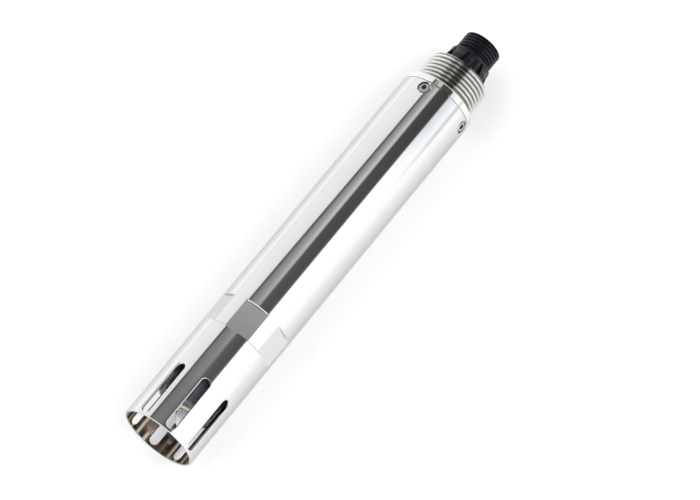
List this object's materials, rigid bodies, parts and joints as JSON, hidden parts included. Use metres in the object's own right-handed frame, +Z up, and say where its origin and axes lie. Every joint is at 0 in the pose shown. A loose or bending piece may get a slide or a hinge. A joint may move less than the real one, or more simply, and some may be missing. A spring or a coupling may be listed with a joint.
{
  "type": "water quality probe",
  "caption": "Cylindrical stainless immersion probe with slotted screw-off guard over a glass-bulb electrode, wrench flats, pipe-threaded rear plug and round cable socket.",
  "frame": {"origin": "on the ground under the middle of the probe, which lies on its side", "axes": "+X along the probe from the open guard to the cable socket, +Z up"},
  "size_m": [0.2066, 0.031, 0.031],
  "materials": {
    "polished_steel": "mirror-polished stainless steel with faint drawing lines",
    "threaded_steel": "polished stainless steel, turned thread",
    "turned_steel": "fine turned stainless steel",
    "screw_steel": "bright machine screw steel",
    "tinned_steel": "tinned sheet",
    "black_nylon": "moulded glass-filled nylon, fine grain",
    "electrode_black": "smooth moulded plastic",
    "chip_black": "moulded epoxy",
    "white_plastic": "moulded, satin",
    "green_board": "solder mask over glass cloth",
    "potting_resin": "cast resin",
    "seal_rubber": "nitrile rubber",
    "sensing_glass": "clear thin glass with a lavender cast",
    "silver_chloride": "dark purple-grey chloride coat on silver",
    "junction_ceramic": "porous cream ceramic",
    "gold_plate": "gold-plated",
    "lead_red": "PVC insulation",
    "lead_black": "PVC insulation",
    "lead_blue": "PVC insulation",
    "lead_yellow": "PVC insulation",
    "lead_white": "PVC insulation"
  },
  "bodies": {
    "probe": {"body_tube": "polished_steel", "front_bulkhead": "turned_steel", "bulkhead_seal_1": "seal_rubber", "bulkhead_seal_2": "seal_rubber", "electrode_body": "electrode_black", "electrode_seal_1": "seal_rubber", "electrode_seal_2": "seal_rubber", "electrode_nut": "turned_steel", "electrode_end_plug": "potting_resin", "glass_bulb": "sensing_glass", "inner_electrode": "silver_chloride", "reference_junction": "junction_ceramic", "reference_wire": "silver_chloride", "temperature_pin": "turned_steel", "top_fitting": "threaded_steel", "fitting_seal_1": "seal_rubber", "fitting_seal_2": "seal_rubber", "fixing_screw_1": "screw_steel", "fixing_screw_2": "screw_steel", "fixing_screw_3": "screw_steel", "fixing_screw_4": "screw_steel", "connector_shell": "black_nylon", "connector_seal": "seal_rubber", "connector_insert": "black_nylon", "connector_nut": "black_nylon", "contact_pin_1": "gold_plate", "contact_pin_2": "gold_plate", "contact_pin_3": "gold_plate", "contact_pin_4": "gold_plate", "contact_pin_5": "gold_plate", "board_carrier": "white_plastic", "main_board": "green_board", "front_header": "white_plastic", "shield_can": "tinned_steel", "microcontroller": "chip_black", "isolator_module": "chip_black", "surge_capacitor": "tinned_steel", "rear_header": "white_plastic", "front_lead_1": "lead_red", "front_lead_2": "lead_black", "front_lead_3": "lead_blue", "rear_wire_1": "lead_red", "rear_wire_2": "lead_black", "rear_wire_3": "lead_blue", "rear_wire_4": "lead_yellow", "rear_wire_5": "lead_white"},
    "seal_carrier": {"guard_seal": "seal_rubber"},
    "guard": {"guard": "polished_steel"}
  },
  "joints": [
    {"name": "guard_travel", "type": "slide", "parent": "probe", "child": "seal_carrier", "axis": [-1, 0, 0], "range_m": [0, 0.0075]},
    {"name": "guard_unscrew", "type": "hinge", "parent": "seal_carrier", "child": "guard", "pos_m": [-0.08, 0, 0.0155], "axis": [-1, 0, 0], "range_deg": [0, 1800]}
  ],
  "couplings": [
    {"joint": "guard_unscrew", "follows": "guard_travel", "rad_per_m": 4188.8}
  ]
}
